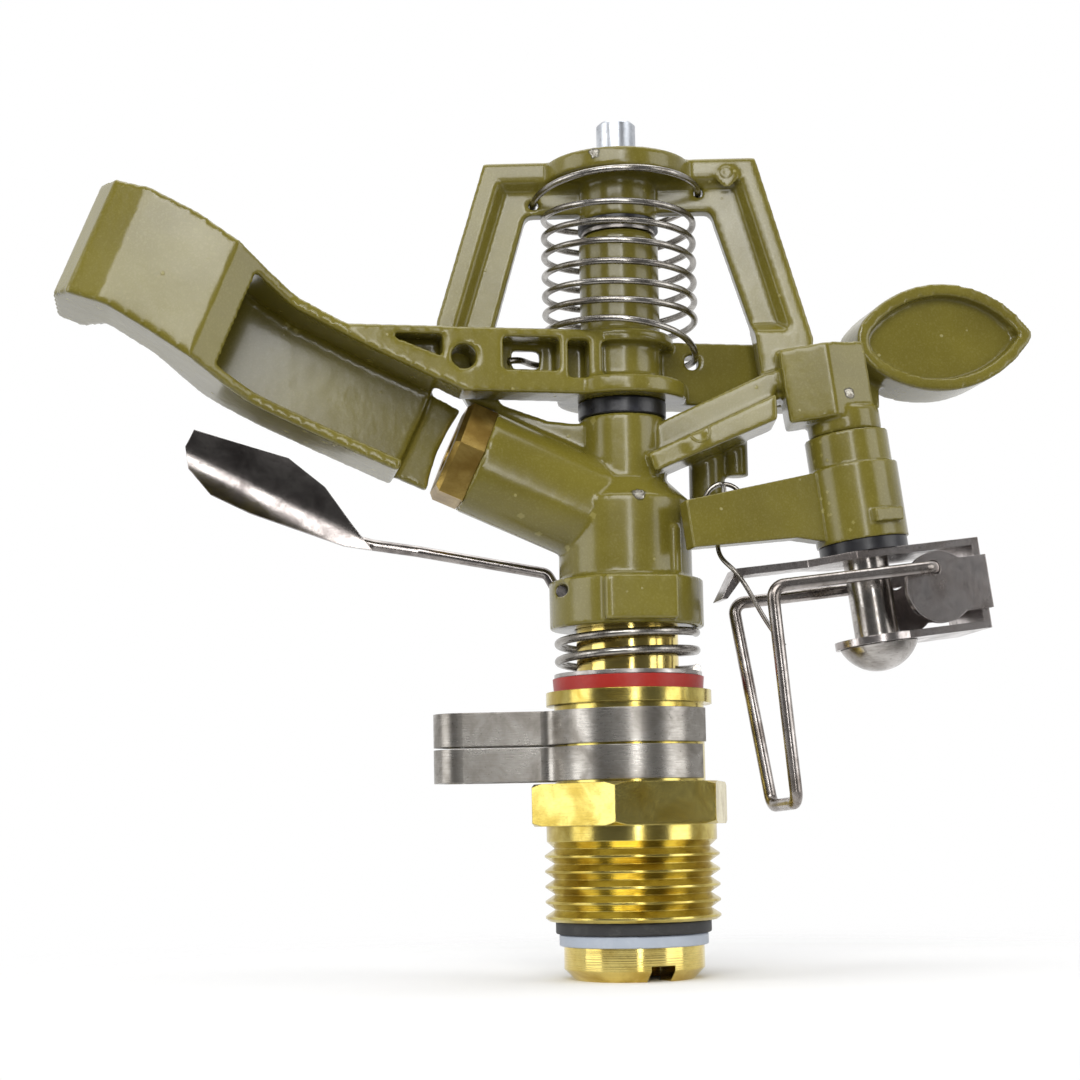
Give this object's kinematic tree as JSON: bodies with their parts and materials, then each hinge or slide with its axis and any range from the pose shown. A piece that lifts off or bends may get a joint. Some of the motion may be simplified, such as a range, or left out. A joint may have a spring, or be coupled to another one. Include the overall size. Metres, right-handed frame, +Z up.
{
  "type": "impulse sprinkler",
  "caption": "Impulse sprinkler head with a slanted nozzle, sprung drive arm, part-circle trip collars and stream deflector on a male-threaded bearing.",
  "frame": {"origin": "on the bearing axis at the lower end of the inlet's male thread", "axes": "+Z up the bearing axis, the bridge lies in the XZ plane, the nozzle points to -X and up, the trip hangs on the +X side"},
  "size_m": [0.1185, 0.0364, 0.1042],
  "materials": {
    "olive_enamel": "gloss enamel on a die casting",
    "yellow_brass": "turned and polished",
    "stainless_steel": "dark satin",
    "zinc_plate": "bright zinc",
    "black_rubber": "matt",
    "black_plastic": "semi-gloss",
    "white_nylon": "matt",
    "red_plastic": "matt"
  },
  "bodies": {
    "inlet": {"bearing_nipple": "yellow_brass", "inlet_rubber_washer": "black_rubber", "red_washer": "red_plastic"},
    "head": {"rotating_tube": "yellow_brass", "inlet_nylon_washer": "white_nylon", "spring_seat_washer": "stainless_steel", "bearing_spring": "stainless_steel", "body": "olive_enamel", "nozzle": "yellow_brass", "arm_pivot_pin": "zinc_plate", "arm_lower_bushing": "black_plastic", "arm_steel_washer": "stainless_steel", "arm_black_washer": "black_plastic", "trip_rivet": "stainless_steel", "arm_spring": "stainless_steel"},
    "arm": {"drive_arm": "olive_enamel", "arm_bush": "white_nylon"},
    "lever": {"trip_lever": "olive_enamel", "lever_washer": "black_plastic", "overcentre_spring": "stainless_steel"},
    "bracket": {"trip_bracket": "stainless_steel"},
    "wire": {"trip_wire": "stainless_steel"},
    "stream_deflector": {"deflector": "stainless_steel"},
    "upper_collar": {"upper_trip_collar": "stainless_steel"},
    "lower_collar": {"lower_trip_collar": "stainless_steel"}
  },
  "joints": [
    {"name": "head_spin", "type": "hinge", "parent": "inlet", "child": "head", "pos_m": [0, 0, 0], "axis": [0, 0, 1], "range_deg": [-90, 90]},
    {"name": "arm_swing", "type": "hinge", "parent": "head", "child": "arm", "pos_m": [0, 0, 0.07], "axis": [0, 0, 1], "range_deg": [0, 90], "stiffness_Nm_per_rad": 0.02, "springref_deg": -28.65, "deforming": ["arm_spring"]},
    {"name": "bracket_turn", "type": "hinge", "parent": "head", "child": "bracket", "pos_m": [0.027, -0.001, 0.0572], "axis": [-0.1262, 0, 0.992], "range_deg": [-24, 0], "deforming": ["overcentre_spring"]},
    {"name": "lever_turn", "type": "hinge", "parent": "head", "child": "lever", "pos_m": [0.027, -0.001, 0.0572], "axis": [-0.1262, 0, 0.992], "range_deg": [0, 16.5]},
    {"name": "wire_fold", "type": "hinge", "parent": "bracket", "child": "wire", "pos_m": [0.03468, 0.00038, 0.04068], "axis": [-0.24, 0.9703, -0.0305], "range_deg": [-95, 0]},
    {"name": "deflector_tilt", "type": "hinge", "parent": "head", "child": "stream_deflector", "pos_m": [-0.00775, 0, 0.0392], "axis": [0, 1, 0], "range_deg": [-20, 0]},
    {"name": "upper_collar_turn", "type": "hinge", "parent": "inlet", "child": "upper_collar", "pos_m": [0, 0, 0.0229], "axis": [0, 0, 1], "range_deg": [-40, 40]},
    {"name": "lower_collar_turn", "type": "hinge", "parent": "inlet", "child": "lower_collar", "pos_m": [0, 0, 0.0186], "axis": [0, 0, 1], "range_deg": [-40, 40]}
  ],
  "couplings": [
    {"joint": "lever_turn", "follows": "bracket_turn", "ratio": -0.6667}
  ]
}
